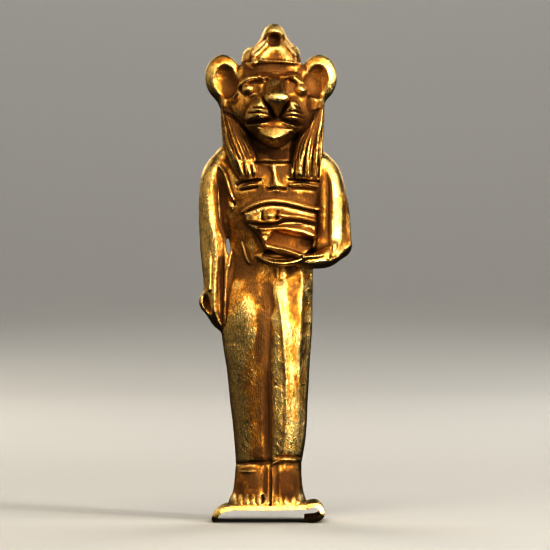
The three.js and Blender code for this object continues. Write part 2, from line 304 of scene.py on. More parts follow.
gown = {
    "body": ["upright", [[42, -34.5, 32, -27, 21, 2.8], [56, -35.5, 34.5, -28, 22, 2.8],
        [78, -37.5, 37, -29, 23, 2.8], [104, -40.5, 38, -30, 24, 2.8], [130, -43, 39.5, -31, 26, 2.8],
        [156, -47, 41, -32, 29, 2.7], [178, -49.5, 42.5, -32.5, 33, 2.6], [206, -49, 43, -29.5, 34, 2.6],
        [238, -45, 43.5, -23, 27, 2.6], [262, -43, 44, -23, 23, 2.5], [290, -46, 46, -26, 24, 2.6],
        [318, -50, 50, -27, 26, 2.5], [334, -54, 56, -26, 25, 2.3], [346, -50, 53, -20, 21, 2.2],
        [354, -42, 46, -12, 15, 2.2]], 2],
    "rightSide": ["limb", [[52, 2, 344, 8, 12], [54, -2, 316, 9, 13], [55, -3, 288, 9, 13],
        [56, -6, 262, 9, 13]], 4],
    "leftSide": ["limb", [[-46, 1, 340, 8, 14], [-47, 0, 316, 8, 13], [-46, -1, 286, 7, 12],
        [-44, 0, 262, 5, 9], [-43, -6, 240, 7, 12], [-46, -7, 205, 6, 11]], 4],
    "legGroove": ["soft", [[0, 200, 7, 0, 4], [-1, 165, 8, -1, 7], [-2, 130, 8, -1.6, 8],
        [-2, 80, 8, -2, 8], [-1, 44, 6, -2, 5]]],
    "shin": ["tent", [[8, 226, 5, 0, 20], [8, 215, 6, 2, 25], [9, 203, 8, 2.6, 25], [12, 178, 12, 2.6, 22],
        [14, 153, 15, 2.6, 19], [15.5, 128, 16, 2.6, 17], [16, 104, 16, 2.6, 16], [15.5, 80, 15, 2.6, 15],
        [13.2, 44, 13, 2, 14]]],
    "belly": ["soft", [[-24, 240, 14, 0], [-27, 215, 16, 1.2, 14], [-29, 195, 16, 1, 16],
        [-30, 175, 16, 0, 18]]],
    "shinFacet": ["facet", [[40, 12.6, -28.9, 31], [56, 14, -29.8, 33], [80, 15.5, -31, 34],
        [104, 16, -32, 34], [128, 15.5, -32.8, 34], [153, 14, -33.6, 33], [178, 12, -34.4, 31],
        [203, 9, -32.4, 28], [219, 8, -29.6, 27], [232, 8, -26.4, 26], [246, 8, -23.4, 26]]],
    "sideFacet": ["facet", [[40, 27.5, -19.9, 52], [80, 29, -21.9, 53], [104, 29.5, -22.9, 53],
        [128, 29.5, -23.4, 53], [153, 30, -23.2, 52], [178, 31, -23, 51], [203, 32, -20.2, 55],
        [219, 33, -16.9, 57], [232, 33, -14.2, 57], [246, 33, -12, 57]]],
    "shinRidge": ["round", [[8.5, 212, 1.2, 0.2], [9.6, 203, 1.6, 0.8], [12.4, 178, 1.8, 1],
        [14.4, 153, 1.8, 1.1], [16, 128, 1.8, 1.1], [16.4, 104, 1.8, 1.1], [15.8, 80, 1.8, 1.1],
        [13.6, 50, 1.6, 0.8]]],
    "lap": ["soft", [[-6, 232, 8, 0], [-4, 218, 9, -1.2], [1, 204, 7, -1.2], [2, 188, 5, 0]]],
    "hem": ["round",
        [[1, 39.5, 1, 1], [7.5, 42.5, 1.4, 1.6], [12, 44.6, 2.4, 2.4], [18, 45, 2.6, 2.8],
        [26, 44, 2.2, 2]],
        [[6, 47.5, 1.6, -1], [16, 48.8, 2, -2], [30, 46.5, 1.6, -1]],
        [[-34, 40, 1.8, -0.8], [-18, 41.6, 2, -1.1], [-4, 42.6, 1.6, -0.8]],
        [[-30, 33, 1.4, 0.6], [-22, 33, 1.8, 1.2], [-15, 33.6, 1.4, 0.4]]],
}

toePlaces = [[-36, 8], [-30, 9], [-23.5, 9], [-17, 9], [-11, 8], [6, 9], [16.5, 10], [24, 10], [30, 8]]
toes = [[[x, -1, 2.4, 0.6], [x, level * 0.6, 2.6, 0.9], [x * 0.98, level + 3, 1.8, 0]]
        for x, level in toePlaces]

feet = {
    "pair": ["upright", [[-1.4, -42.5, 37, -44, 28, 3.4], [4, -41, 36, -43, 27, 3.4],
        [12, -37.5, 33.5, -38, 25, 3], [24, -36, 32, -32, 22, 2.8], [48, -34, 31.5, -25, 19, 2.6]], 1],
    "toes": ["round", *toes],
    "split": ["tent", [[0.5, -3, 1.6, -2.6], [0.5, 20, 1.5, -2.2], [0.5, 40, 1.4, -1.6]]],
    "inside": ["area", [[1.5, 40], [8, 42], [8, 4], [1.5, 2]], -1.4, 5],
    "toeSlot": ["round", [[-7.5, 9, 1.6, -3.5], [-7, 5, 1.8, -4], [-8, 2, 1.2, -2]]],
}

carve(gown)
carve(feet)

print("arms")

arms = {
    "hanging": ["limb", [[-44, 4, 350, 12, 12], [-54, 2, 332, 15, 15], [-57.5, 1, 310, 14.5, 15],
        [-58, -1, 284, 14, 14], [-57.5, -4, 256, 13, 12], [-56, -6, 228, 11.5, 11], [-54, -7, 208, 10, 11],
        [-53, -8, 196, 9, 9]], 3],
    "fist": ["limb", [[-55, -6, 236, 9, 9], [-55, -8, 206, 12, 11], [-51, -8, 188, 10, 9],
        [-46.5, -8, 174, 1.6, 4]], 4],
    "fistThumb": ["limb", [[-62, -8, 216, 3, 5], [-65.5, -9, 203, 6.5, 7], [-59, -9, 190, 2, 5]], 3],
    "fistHollow": ["hollow", (-64, -18, 202), (4, 8, 11), 2, -0.3],
    "bent": ["limb", [[44, 4, 350, 12, 12], [56, 2, 334, 15, 14], [63, 1, 312, 14.5, 15],
        [66.5, 0, 286, 14.8, 15], [67.5, -4, 262, 14.8, 14]], 4],
    "forearm": ["limb", [[69, -4, 260, 12, 13], [57, -22, 249, 10, 12], [42, -33, 245, 7.6, 10],
        [30, -36, 245, 5.8, 8]], 4],
    "elbow": ["ball", (54, -8, 260), (12, 14, 14), 3],
    "bentFacet": ["facet", [[246, 68, -27, 26], [262, 67.5, -21.6, 38], [280, 66.5, -20.5, 48],
        [300, 66, -20.5, 50], [323, 65, -18.5, 48], [340, 62, -15, 40]]],
    "palm": ["ball", (8, -28, 250), (24, 8, 6), 2],
    "fingers": ["limb", [[34, -37, 247.5, 3, 8], [22, -41, 243.5, 2.8, 8], [10, -43, 242.5, 2.8, 8],
        [0, -42, 244, 2.6, 7], [-10, -38, 248.5, 2, 5]], 1.5],
    "thumb": ["limb", [[58, -26, 253.5, 3, 5], [50, -34, 250.5, 2.6, 6], [42, -38, 249.5, 2.6, 7],
        [34, -39.5, 249, 2.4, 7], [28, -41, 250.5, 2.2, 5], [15, -43, 255.5, 1.9, 5],
        [5, -43, 257.8, 1.7, 4], [-2, -42, 259, 1.6, 4], [-5, -41, 263, 1.2, 3]], 1.5],
    "underarm": ["hollow", (-42.5, -4, 260), (2.4, 40, 9), 1, -0.1],
    "ridges": ["round",
        [[-51, 341, 2, 1], [-46, 334, 2.2, 3], [-43, 323.5, 2.2, 3.6], [-40.7, 315, 2.2, 3.4],
        [-37.5, 307, 2, 2]],
        [[-52, 321, 1, 0.6], [-52, 307, 1.3, 1.8], [-51.6, 298, 1.2, 1.6], [-50, 283, 1, 0.6]],
        [[-39.4, 254, 1.4, 1], [-41.2, 243, 2.2, 3], [-44, 232, 1.9, 3], [-45.3, 219, 1.6, 2.8],
        [-46, 200, 1.5, 2.6], [-46.2, 182, 1.2, 1.5]],
        [[-61, 252, 1.8, 0.8], [-61, 236, 2, 2.2], [-61.4, 216, 1.8, 1.8]],
        [[-28.5, 263.6, 1.2, 0.8], [-25.7, 254.5, 1.6, 2], [-23.5, 247, 1.8, 2.4],
        [-20.5, 242.5, 1.4, 1.4]]],
    "outerRidges": ["tent",
        [[-50, 347, 5, 0, 3], [-56, 339, 8, 2, 4], [-61.5, 329, 8, 2, 6], [-63.5, 316, 7, 2, 7],
        [-63.5, 300, 7, 2, 7], [-61.5, 288, 7, 2, 7], [-58, 277, 9, 2.2, 4], [-55, 266, 10, 2, 3.4],
        [-54, 243, 6, 1.8, 2.8], [-55.5, 225, 4, 1.8, 2.6], [-57, 203, 4, 1.8, 2.6],
        [-54.5, 190, 4, 1.8, 2.4], [-50, 180, 3, 1, 2]],
        [[60, 342, 4, 0, 10], [62, 330, 4, 3, 12], [63.5, 313, 4, 5, 13], [63.5, 297, 4, 5.4, 13],
        [62.5, 280, 4, 5, 14], [63, 264, 4, 3, 14]]],
    "upperHollow": ["soft", [[-53, 334, 5, 0], [-52, 318, 8, -1.6], [-51, 290, 8, -1.7],
        [-47, 274, 5, -1.2], [-44, 268, 3, 0]]],
    "lowerHollow": ["flat", [[-49, 250, 3, 0], [-49.5, 236, 4.5, -1.8], [-50.5, 200, 4.5, -2],
        [-49.5, 178, 2, 0]]],
    "knob": ["ball", (-38.6, -13, 299.5), (3.2, 7, 8), 1, -0.35],
    "knobHole": ["round", [[-36, 304, 1.3, -2.5], [-35.6, 302, 1.3, -2.5]]],
}

carve(arms)

print("wig, lappets and pendant")

wig = {
    "hood": ["upright", [[338, -40, 44, -4, 36, 2.4], [352, -46, 51, -10, 38, 2.4],
        [376, -49, 54, -17, 42, 2.5], [402, -50, 55, -20, 44, 2.5], [424, -47, 51, -23, 43, 2.4],
        [438, -38, 42, -24, 38, 2.3], [447, -26, 30, -22, 30, 2.2]], 3],
    "backLock": ["upright", [[296, -26, 32, 0, 30, 2.8], [304, -32, 38, 0, 34, 2.8],
        [330, -38, 43, 0, 36, 2.6], [360, -40, 44, 0, 38, 2.4]], 3],
    "neck": ["upright", [[336, -22, 30, -24, 10, 2.4], [344, -22, 30, -25.5, 10, 2.4],
        [356, -24, 32, -24, 10, 2.4], [372, -26, 34, -24, 10, 2.4]], 2],
    "leftLappet": ["limb", [[-45, -12, 408, 5, 9], [-40, -17, 388, 8.5, 11], [-33, -21, 368, 13.5, 12],
        [-28, -23, 350, 13.5, 11], [-21.5, -26, 333, 10.5, 7]], 2],
    "rightLappet": ["limb", [[50, -12, 408, 4.5, 9], [46, -17, 388, 9, 11], [40, -21, 368, 13.5, 12],
        [38, -23, 350, 14.5, 11], [35, -26, 333, 13, 7]], 2],
    "strands": ["round",
        [[-36.5, 355, 1, 0.5], [-33, 347, 1.4, 1.4], [-30.3, 340, 1.9, 2.4], [-28, 333, 2.2, 3],
        [-26.6, 329.6, 2, 2]],
        [[-24.8, 349, 1.4, 0.8], [-22.6, 340, 3, 2.8], [-21.2, 333, 3.4, 3.4], [-20.8, 329.6, 3, 2]],
        [[-17, 345, 1.3, 0.8], [-15.5, 337, 2.2, 2.8], [-14.4, 330.6, 2.2, 2.2]],
        [[53, 398, 1.2, 0.8], [51.2, 382, 1.4, 1.6], [48.8, 371, 1.5, 2.2], [47.4, 358, 1.6, 2.6],
        [46.4, 344, 1.7, 2.8], [45.4, 329.6, 1.6, 2]],
        [[41, 368, 1.1, 0.6], [38.2, 354, 2, 2], [38, 341, 2.3, 3], [38.3, 330, 2.2, 2.4]],
        [[33, 354, 1.3, 0.6], [30.4, 345, 2.6, 2.2], [29.6, 336, 3.4, 3], [29, 329.8, 3.8, 2.2]],
        [[20.7, 343, 1.1, 0.8], [22, 333, 1.4, 1.8], [22.4, 330, 1.3, 1]]],
    "partings": ["soft",
        [[-28, 347, 1, -0.6], [-25.6, 338, 1.2, -1.4], [-24.4, 330, 1.2, -1.8]],
        [[-19.5, 342, 1, -0.6], [-18, 336, 1.2, -1.4], [-17.4, 330, 1.2, -1.8]],
        [[-34, 345, 1.2, -0.6], [-32, 338, 1.3, -1.8], [-30, 330, 1.2, -1.8]],
        [[44, 362, 1.1, -0.8], [42.4, 346, 1.3, -2.4], [42, 330, 1.3, -2.4]],
        [[36, 352, 1, -0.6], [34.4, 342, 1.2, -2.4], [34.2, 330, 1.2, -2.6]],
        [[26, 346, 1, -0.6], [25, 338, 1.3, -2.2], [24.6, 330, 1.2, -2.2]],
        [[50.5, 372, 1, -0.6], [49.6, 350, 1.2, -1.8], [48.6, 330, 1.2, -2]]],
    "ties": ["round",
        [[-29, 319, 1.8, 2.4], [-22, 321, 2, 3.6], [-12.5, 322.4, 2, 3.2]],
        [[20.5, 322, 2, 2.6], [33, 322.2, 2.3, 3.8], [47, 320.4, 2.1, 3]]],
    "tieGrooves": ["soft",
        [[-33, 321.6, 1.8, -2], [-29.4, 324.2, 2, -3.6], [-22, 326.2, 2.1, -4.4], [-10, 327, 1.8, -3]],
        [[19, 327.4, 1.6, -2.4], [34, 327, 1.7, -3.6], [49, 325.4, 1.6, -2.4]],
        [[-29.4, 316.6, 1.2, -1.2], [-22, 318, 1.4, -2], [-13, 319.4, 1.2, -1.2]],
        [[22, 318.2, 1.2, -1.2], [34, 318, 1.4, -2], [46, 316.4, 1.2, -1.2]]],
}

pendant = {
    "drop": ["soft", [[3, 340.5, 5.5, 3.4], [4.4, 335, 3.8, 3.4], [5, 330, 3.4, 3.2], [6.2, 323, 6, 3.4],
        [6.6, 320.5, 7.5, 3.2]]],
    "edges": ["tent",
        [[-3, 317.5, 1.8, -2], [6, 318.3, 2, -3.4], [15, 317.5, 1.8, -2]],
        [[-16, 344.5, 1.6, -1.6], [3, 344.2, 1.8, -2.6], [21, 344.2, 1.6, -1.6]]],
}

carve(wig)
carve(pendant)

print("amulet")

brow = [[-27, 294.6, 1.4, 2.4, 2.6], [-22, 298.6, 1.5, 4, 3.2], [-14.8, 301.6, 1.6, 4.6, 4],
    [-8, 303.6, 1.6, 4.8, 4.2], [1.6, 305.2, 1.6, 4.8, 4.2], [13.5, 304.3, 1.6, 4.8, 4.2],
    [24.4, 302.1, 1.6, 4.8, 4.2], [35.3, 299.6, 1.6, 4.8, 4], [46.4, 297, 1.6, 4.2, 4]]

amulet = {
    "ground": ["area", [[-26, 293], [-19, 297.5], [-9, 301], [2, 302.5], [14, 301.6], [25, 299.3],
        [46.5, 294], [46, 270], [45, 258], [30, 249], [8, 253], [-4, 257], [-8, 265], [-14, 273],
        [-24, 284]], 4.5, 3],
    "brow": ["round", brow],
    "underBrow": ["tent", [[x, level - 3.4, 2, -2] for x, level, *_ in brow[1:]]],
    "leftWhite": ["area", [[-21, 286], [-17, 290.5], [-9, 292.5], [-8.6, 285]], 2.6, 2],
    "rightWhite": ["area", [[8.8, 288], [9, 294], [15, 293], [24, 290], [15, 288]], 2.6, 2],
    "lids": ["round",
        [[9, 291, 1.8, 3.6, 3], [15, 290.2, 1.6, 4, 3], [22.5, 289.8, 1.4, 4.4, 2.6],
        [31.6, 288.8, 1.3, 4.4, 2.6], [44.5, 285.4, 1.3, 4.2, 2.6]],
        [[-21.5, 286.2, 1.6, 3], [-14, 285.5, 1.8, 3.6], [-6.5, 284.9, 1.8, 3.6], [3, 285.2, 1.8, 3.6],
        [10, 287, 1.8, 3]]],
    "pupil": ["round", [[-0.4, 290.4, 6.6, 6], [0.4, 290.4, 6.6, 6]]],
    "pupilSides": ["tent",
        [[-8, 294.4, 1.2, -2], [-7.6, 287.4, 1.2, -2]],
        [[8, 294.4, 1.2, -2], [7.6, 287.4, 1.2, -2]]],
    "underLid": ["tent", [[-22, 283, 1.8, -2.6], [-8, 282.4, 2, -3.4], [5, 283, 2, -3.4],
        [15, 285.8, 2, -3.2], [27, 285.8, 2, -3.2], [45, 282, 2, -3]]],
    "cheek": ["round", [[-12, 277.4, 1.2, 3.4, 2.4], [4.4, 277.8, 1.4, 4.4, 2.8], [15, 277.6, 1.7, 5, 3.2],
        [24.5, 275.4, 2, 5.6, 5], [31, 274.4, 2.2, 5.8, 5.4], [38.8, 272, 2.4, 5.8, 5.2],
        [43, 270.6, 2, 4.6, 4]]],
    "drop": ["area", [[-12, 278], [3, 277.5], [0, 271], [-5, 263], [-8, 268]], 3.4, 2.4],
    "recess": ["area", [[5, 275.5], [20, 272], [34, 269], [46, 267], [46, 256], [34, 252], [24, 255],
        [14, 258.5], [2, 261], [-3, 262.5]], -3.8, 5],
    "underHand": ["area", [[-2, 257.5], [12, 255.5], [27, 251], [20, 247.5], [6, 247.5], [-8, 251]], -3,
        2],
}

carve(amulet)

print("head")

face = {
    "skull": ["ball", (3, -12, 405), (44, 29, 39), 3],
    "bridge": ["limb", [[6, -24, 428, 9, 7], [6, -38, 421, 10, 9], [6.5, -48, 413, 11, 9],
        [7, -55, 408, 12, 8]], 3],
    "leftCheek": ["ball", (-28, -16, 398), (14, 16, 22), 4, -0.3],
    "leftBone": ["ball", (-21, -29, 417), (8, 7, 6), 2, -0.3],
    "rightCheek": ["ball", (38, -16, 398), (14, 16, 22), 4, 0.3],
    "rightBone": ["ball", (31, -29, 417), (8, 7, 6), 2, 0.3],
    "leftPad": ["limb", [[-9.5, -46, 409, 2.4, 8], [-9.5, -45, 403, 6, 14], [-10.5, -44, 397, 10, 15],
        [-11, -40, 391, 13.5, 15], [-11, -35, 386.5, 15, 14]], 1.5],
    "rightPad": ["limb", [[23.5, -46, 408, 2.4, 8], [23, -45, 403, 6, 14], [22.3, -44, 397, 9, 15],
        [21.8, -40, 391, 11.5, 15], [21.5, -35, 386.5, 13, 14]], 1.5],
    "leftBrow": ["limb", [[-33, -19.5, 418, 2, 5], [-30.5, -23, 421.5, 3, 6], [-27, -27, 424.8, 3.4, 6],
        [-23, -29, 427.4, 3.2, 6], [-18, -30.2, 429.2, 2.8, 6], [-13, -30.6, 429.6, 2, 6]], 4],
    "rightBrow": ["limb", [[22, -30.5, 430.6, 1.6, 6], [26, -29.6, 428, 2.8, 6], [29.5, -28, 425, 3.6, 6],
        [33.5, -25.4, 421.6, 3.6, 6], [38, -21.5, 417.6, 3, 6], [42, -16.5, 412, 2.2, 5]], 4],
    "nose": ["ball", (7.2, -55, 408), (13.2, 9.5, 7), 3],
    "noseTip": ["limb", [[7.3, -52, 404, 9.5, 8], [7.5, -47, 397, 5.8, 8], [7.7, -42, 391.5, 2.4, 6]], 3],
    "jaw": ["upright", [[359.8, -2, 10, -42, 4, 2], [362, -6, 15, -52, 6, 2],
        [365.4, -11.5, 19, -59.5, 8, 2], [368.5, -15.5, 22.5, -61, 8, 2], [374, -20.5, 27.5, -57.5, 8, 2],
        [379.5, -24, 31.5, -53, 8, 2], [384, -27, 34.5, -50, 8, 2.1], [388, -28, 36, -46, 8, 2.1]], 2],
    "chinFacet": ["area", [[-15, 378.4], [5, 379.6], [24, 376.4], [16, 370], [4, 367.6], [-8, 371]], 1.3,
        1.6],
    "besideNose": ["soft",
        [[-6.5, 409, 2.6, -0.6], [-0.5, 400, 2.8, -2], [5, 391, 2.2, -1.4]],
        [[21.5, 409, 2.6, -0.6], [15.5, 400, 2.8, -2], [10, 391, 2.2, -1.4]]],
    "sockets": ["soft",
        [[-23, 423.2, 1.8, -0.4], [-15, 425.4, 2.8, -1.3], [-10, 425, 2.6, -1.4]],
        [[-13, 423, 5, -0.8], [-13, 417, 5, -1]],
        [[-28.5, 420, 1.8, -0.4], [-29.5, 416, 1.8, -0.8], [-25, 411.6, 1.8, -0.7]],
        [[16, 428, 2, -1.2], [16.5, 423, 1.8, -0.9]],
        [[19, 427.5, 2, -0.8], [24, 425.6, 2, -0.8], [27, 421, 1.6, -0.5]],
        [[21, 424, 5, -0.8], [21, 417, 5, -1]],
        [[27, 410.8, 1.8, -0.6], [32, 410, 1.8, -0.7]],
        [[-36, 409.5, 2, -1], [-33, 413, 2, -1.4]],
        [[36, 416, 2, -1], [37.5, 413.5, 3, -1.8], [39.5, 410.5, 2.4, -1.2]]],
    "lumps": ["round",
        [[-23.2, 418.4, 5.8, 3.2], [-21.8, 418.8, 5.8, 3.2]],
        [[30.2, 418.4, 5.6, 3.2], [31.4, 417.4, 5.6, 3.2]],
        [[-11.5, 431.4, 1.8, 1.6], [-7, 428.5, 2.4, 3], [-6, 425.5, 1.6, 1.4]],
        [[-7, 429.2, 2, 2], [-3.5, 430.6, 1.8, 1.8], [0.5, 429.2, 1.3, 1]],
        [[11, 431.2, 1.6, 1.6], [15, 430.4, 2.2, 2.8], [18.5, 431.2, 1.8, 2], [27, 431.8, 1.3, 1]],
        [[-20, 411, 1, 1], [-17.5, 412.4, 1.3, 1.8], [-14.5, 413.8, 1, 1]]],
    "mouth": ["channel", [[-27, -38, 383.6, 1.6, 8], [-19, -44, 384.4, 2.4, 9], [-9, -50, 385.6, 2.6, 10],
        [0, -54, 387.6, 2.4, 10], [8, -55, 389, 2, 10], [15, -54, 386.6, 2.4, 10],
        [24, -49, 383.6, 2.6, 9], [36, -38, 380.6, 1.8, 8]], 1],
    "cheekFolds": ["soft",
        [[-46, 395, 2.6, -1.6], [-35, 388.5, 2.6, -2], [-26, 379, 2.4, -2], [-15, 367.5, 2.2, -1.6]],
        [[48, 396, 2.6, -1.6], [41, 386, 2.6, -2], [33, 375, 2.4, -2], [23, 366, 2.2, -1.6]]],
    "underBand": ["tent", [[-22, 432.6, 1.4, -1], [-5, 434.4, 1.5, -1.6], [4.5, 432.6, 1.5, -1.8],
        [20, 434.8, 1.5, -1.6], [31, 433.6, 1.4, -1]]],
}

headDress = {
    "band": ["upright", [[432, -27, 34, -28, 20, 2.8], [440, -27, 34, -29, 20, 2.8],
        [446, -26, 32, -28, 20, 2.8]], 1.5],
    "cap": ["upright", [[436, -29, 31, -20, 26, 2.2], [449, -28.6, 31, -20, 25, 2.4],
        [457, -27.2, 30.4, -19, 23, 2.3], [461.5, -23, 28.5, -17, 20, 2.2]], 1.5],
    "cone": ["upright", [[456, -25, 29, -20, 15, 2.2], [462, -18.5, 27.4, -20, 13, 2.1],
        [465, -14.5, 23.6, -19, 12, 2], [469, -11, 19.6, -19, 10, 2], [473, -9, 17.4, -18, 9, 2],
        [478, -7, 15, -17, 6, 2], [482, -4.2, 12.4, -15, 3, 2], [485, 0, 8.8, -11, 1, 2]], 1.5],
    "panel": ["upright", [[444.8, -19.5, 27.5, -33.5, 4, 5], [450, -19.5, 27.5, -32, 4, 4],
        [456, -18, 26, -29, 4, 3], [461, -13, 22, -27, 4, 2.6], [466, -9, 17.5, -25, 4, 2.2],
        [470, -7, 15, -23, 4, 2]], 1.5],
    "stump": ["ball", (4.2, -14, 474.5), (10.5, 11.5, 10), 1.5],
    "upperScoop": ["hollow", (4, -27.5, 469), (9.6, 11, 7), 2],
    "lowerScoop": ["hollow", (5, -41, 454.5), (16.5, 14, 12), 2],
    "ridges": ["round",
        [[-2, 468, 2.4, 1.5], [-6, 464, 4, 3.4], [-11, 459.5, 4.2, 2.4], [-16, 454.5, 4, 3.6]],
        [[14.5, 467, 1.8, 1.5], [19.5, 461, 2.2, 3], [25.5, 453, 2.2, 2.8]],
        [[-16.5, 451.5, 2, 1.5], [-15.6, 444.5, 2.4, 3]],
        [[25.2, 452, 1.4, 1.5], [25.4, 445, 1.6, 2]],
        [[-12, 447.6, 1.2, 1.2], [5, 446.8, 1.5, 1.8], [24, 445.2, 1.3, 1.4]]],
}


def ear(side, x):
    return {"shell": ["ball", (x, -8, 430), (18.5, 9, 24), 1.5, side * 0.1],
            "root": ["ball", (x - side * 5, -7, 411), (12, 7, 17), 4, side * 0.25],
            "dish": ["hollow", (x - side * 2, -23, 428), (14, 14, 19.5), 1.2, side * 0.1]}


carve(face)
carve(ear(-1, -47))
carve(ear(1, 49))
carve(headDress)

print("mesh of the clay")


def ramp(values, start, end):
    t = np.clip((values - start) / (end - start), 0, 1)
    return t * t * (3 - 2 * t)


# The relief lies on whatever faces the front, and fades out over the sides
clay -= relief[:, None, :] * ramp(-axes[1], *clayBlock["front"])[None, :, None]
np.maximum(clay, clayBlock["soles"] - axes[2][None, None, :], out=clay)


def inPlace(x, y, level):
    return origin + Vector((x, y, level)) * square


# Place of the clay's front, or back, behind a point of the relief
def surfaceAt(x, level, back):
    i, k = [min(max(int(round((value - axes[axis][0]) / cell)), 0), len(axes[axis]) - 1)
            for value, axis in ((x, 0), (level, 2))]
    column = clay[i, :, k]
    inside = np.nonzero(column < 0)[0]
    if not len(inside):
        return None
    j = inside[-1] if back else inside[0]
    other = min(j + 1, len(column) - 1) if back else max(j - 1, 0)
    share = column[j] / (column[j] - column[other]) if column[other] != column[j] else 0
    return inPlace(x, float(axes[1][j] + (axes[1][other] - axes[1][j]) * share), level)


def newObject(name, data):
    thing = bpy.data.objects.new(name, data)
    bpy.context.scene.collection.objects.link(thing)
    return thing


def smooth(mesh):
    for face in mesh.polygons:
        face.use_smooth = True


# Number attribute on the points of a mesh
def mark(mesh, label, values):
    mesh.attributes.new(label, "FLOAT", "POINT").data.foreach_set("value", values)


# The finished piece, on the root body in place of its CAD node
def onRoot(piece, node):
    smooth(piece.data)
    print(piece.name, "has", len(piece.data.polygons), "faces")
    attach(piece, "root")
    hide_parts(node)


def meshOf(field, name):
    limit = 3 * cell
    grid = openvdb.FloatGrid(background=limit)
    grid.copyFromArray(np.clip(field, -limit, limit))
    points, _, quads = grid.convertToPolygons(isovalue=0.0, adaptivity=0.0)
    places = points * cell + np.array(clayBlock["low"], float)
    mesh = bpy.data.meshes.new(name)
    mesh.vertices.add(len(places))
    mesh.vertices.foreach_set("co", (places * square + np.array(origin)).astype(np.float32).ravel())
    mesh.loops.add(len(quads) * 4)
    mesh.loops.foreach_set("vertex_index", quads[:, ::-1].astype(np.int32).ravel())
    mesh.polygons.add(len(quads))
    mesh.polygons.foreach_set("loop_start", np.arange(0, len(quads) * 4, 4, dtype=np.int32))
    mesh.update(calc_edges=True)
    mesh.validate()
    volume = bmesh.new()
    volume.from_mesh(mesh)
    if volume.calc_volume(signed=True) < 0:
        bmesh.ops.reverse_faces(volume, faces=volume.faces)
        volume.to_mesh(mesh)
    volume.free()
    smooth(mesh)
    return mesh


# The piece with its modifiers made into its mesh
def settle(piece):
    shown = piece.evaluated_get(bpy.context.evaluated_depsgraph_get())
    mesh = bpy.data.meshes.new_from_object(shown)
    old = piece.data
    piece.modifiers.clear()
    piece.data = mesh
    bpy.data.meshes.remove(old)


figure = newObject("castFigure", meshOf(clay, "castFigure"))
print("clay has", len(figure.data.polygons), "faces")

# Node tree that make adds to
bench = {}


# New tree on the bench with inputs and outputs by their kinds, and the sockets of its input
def newTree(name, kind, inputs, outputs):
    bench["tree"] = bpy.data.node_groups.new(name, kind)
    for way, sockets in (("INPUT", inputs), ("OUTPUT", outputs)):
        for label, socket in sockets.items():
            bench["tree"].interface.new_socket(label, in_out=way, socket_type="NodeSocket" + socket)
    return make("NodeGroupInput", output=None)


# Node with values or links by input name or number, and settings; returns one output, or all for None
def make(kind, inputs=None, output=0, **settings):
    node = bench["tree"].nodes.new(kind)
    for key, value in settings.items():
        setattr(node, key, value)
    for key, value in (inputs or {}).items():
        if isinstance(value, bpy.types.NodeSocket):
            bench["tree"].links.new(value, node.inputs[key])
        else:
            node.inputs[key].default_value = value
    return node.outputs if output is None or not node.outputs else node.outputs[output]


def maths(operation, a, b=0.0, clamp=False):
    return make("ShaderNodeMath", {0: a, 1: b}, operation=operation, use_clamp=clamp)


plus, minus, times, most = [partial(maths, operation)
                            for operation in ("ADD", "SUBTRACT", "MULTIPLY", "MAXIMUM")]


def vector(x, y=0.0, z=0.0):
    return make("ShaderNodeCombineXYZ", {0: x, 1: y, 2: z})


def vectors(operation, a, b):
    second = "Scale" if operation == "SCALE" else 1
    return make("ShaderNodeVectorMath", {0: a, second: b}, operation=operation)


def noise(place, scale, detail=2.0, roughness=0.5, **settings):
    return make("ShaderNodeTexNoise", {"Vector": place, "Scale": scale, "Detail": detail,
                                       "Roughness": roughness}, "Fac", **settings)


def spread(value, low, high, start=0.0, end=1.0):
    return make("ShaderNodeMapRange", {"Value": value, "From Min": low, "From Max": high, "To Min": start,
                                       "To Max": end}, interpolation_type="SMOOTHSTEP")


def blendColours(share, a, b):
    return make("ShaderNodeMix", {0: share, 6: a, 7: b}, 2, data_type="RGBA")


def named(label, kind="FLOAT"):
    return make("GeometryNodeInputNamedAttribute", {"Name": label}, "Attribute", data_type=kind)


def stored(geometry, label, value, kind="FLOAT"):
    return make("GeometryNodeStoreNamedAttribute", {"Geometry": geometry, "Name": label, "Value": value},
                data_type=kind, domain="POINT")


# New Geometry Nodes tree with named objects and numbers to set
def newForm(name, objects, numbers):
    inputs = {"Geometry": "Geometry", **dict.fromkeys(objects, "Object"), **dict.fromkeys(numbers, "Float"),
              "Material": "Material"}
    return newTree(name, "GeometryNodeTree", inputs, {"Geometry": "Geometry"})


# Geometry pushed along its normals
def pushed(geometry, distance):
    offset = vectors("SCALE", make("GeometryNodeInputNormal"), distance)
    return make("GeometryNodeSetPosition", {"Geometry": geometry, "Offset": offset})


# Real geometry in the given material as the tree's result
def endForm(geometry, material):
    real = make("GeometryNodeRealizeInstances", {0: geometry})
    make("NodeGroupOutput", {0: make("GeometryNodeSetMaterial", {"Geometry": real, "Material": material})})
    return bench["tree"]


# Modifier of the tree on the piece, its inputs set by their identifiers
def useTree(piece, tree, values):
    modifier = piece.modifiers.new(tree.name, "NODES")
    modifier.node_group = tree
    for item in tree.interface.items_tree:
        if item.in_out == "INPUT" and item.name in values:
            modifier[item.identifier] = values[item.name]


print("materials")

